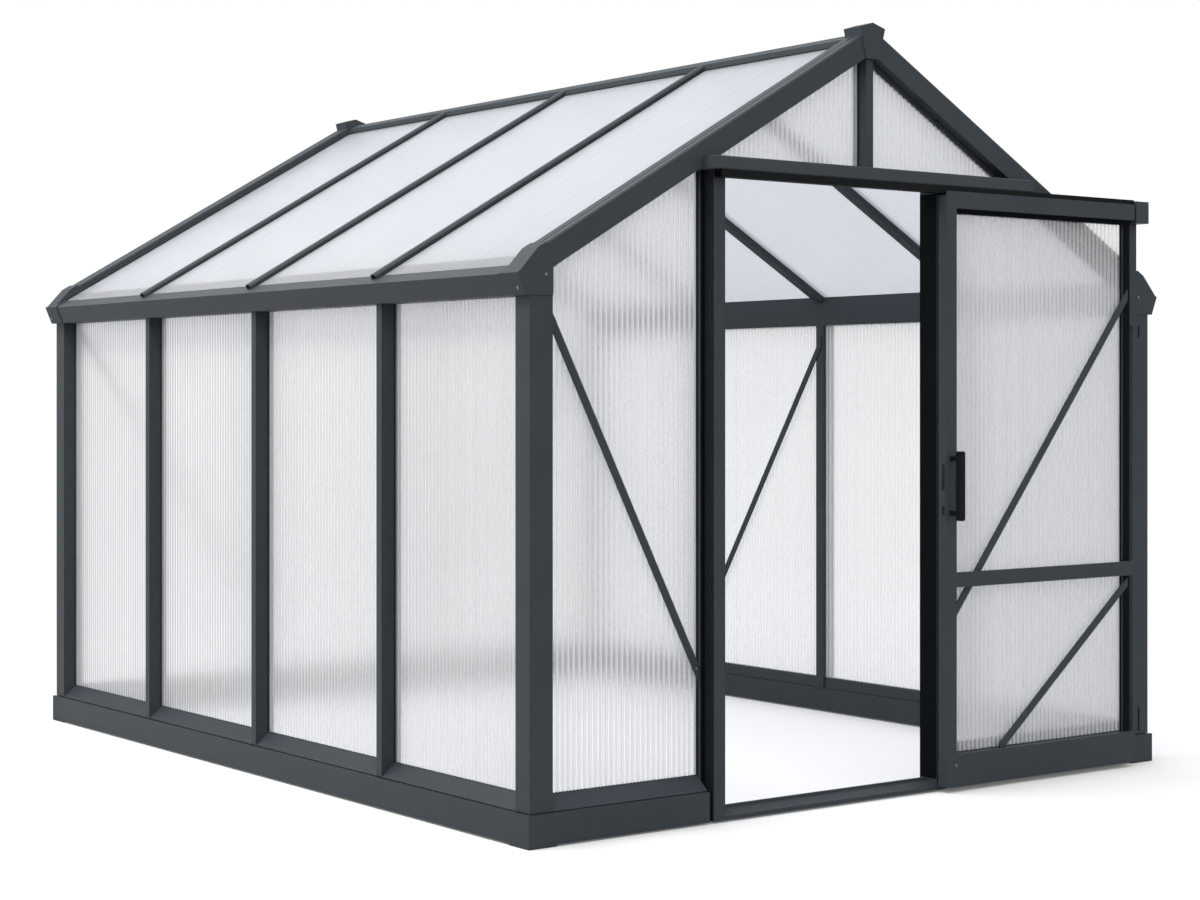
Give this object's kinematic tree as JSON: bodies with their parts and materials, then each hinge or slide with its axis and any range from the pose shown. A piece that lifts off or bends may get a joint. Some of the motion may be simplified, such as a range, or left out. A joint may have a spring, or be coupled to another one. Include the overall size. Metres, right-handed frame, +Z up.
{
  "type": "polycarbonate greenhouse",
  "caption": "Walk-in greenhouse with a dark aluminium frame, twin-wall polycarbonate sheets, a pitched roof and an outside sliding door on its front gable.",
  "frame": {"origin": "middle of the whole footprint, pull handle included, at ground level", "axes": "+Z up, the front gable with the door faces -Y, +X is to the right seen from the front"},
  "size_m": [2.5236, 3.107, 2.2675],
  "materials": {
    "frame": "charcoal powder coat on aluminium, satin",
    "polycarbonate": "translucent twin-wall sheet, lightly frosted",
    "black_fittings": "matt black"
  },
  "bodies": {
    "house": {"base_rail_left": "frame", "base_rail_right": "frame", "base_rail_back": "frame", "base_rail_front_left": "frame", "base_rail_front_right": "frame", "threshold": "frame", "corner_boots": "frame", "corner_posts": "frame", "side_posts_left": "frame", "side_posts_right": "frame", "back_studs": "frame", "door_jambs": "frame", "eave_beam_left": "frame", "eave_beam_right": "frame", "eave_brackets": "frame", "ridge_beam": "frame", "ridge_caps": "frame", "gable_rafters_front": "frame", "gable_rafters_back": "frame", "roof_bars_left": "frame", "roof_bars_right": "frame", "king_posts": "frame", "door_header": "frame", "back_rail": "frame", "side_sheets_left": "polycarbonate", "side_sheets_right": "polycarbonate", "roof_sheets_left": "polycarbonate", "roof_sheets_right": "polycarbonate", "front_sheet_left": "polycarbonate", "front_sheet_right": "polycarbonate", "back_sheets": "polycarbonate", "gable_sheets": "polycarbonate", "wall_braces": "frame", "door_track": "black_fittings", "track_upright": "frame", "track_cap": "frame"},
    "door": {"leaf_stile_left": "frame", "leaf_stile_right": "frame", "leaf_top_rail": "frame", "leaf_mid_rail": "frame", "leaf_bottom_rail": "frame", "leaf_sheet": "polycarbonate", "leaf_braces": "frame", "leaf_handle": "black_fittings", "leaf_rollers": "black_fittings"}
  },
  "joints": [
    {"name": "door_slide", "type": "slide", "parent": "house", "child": "door", "axis": [1, 0, 0], "range_m": [-0.832, 0]}
  ]
}
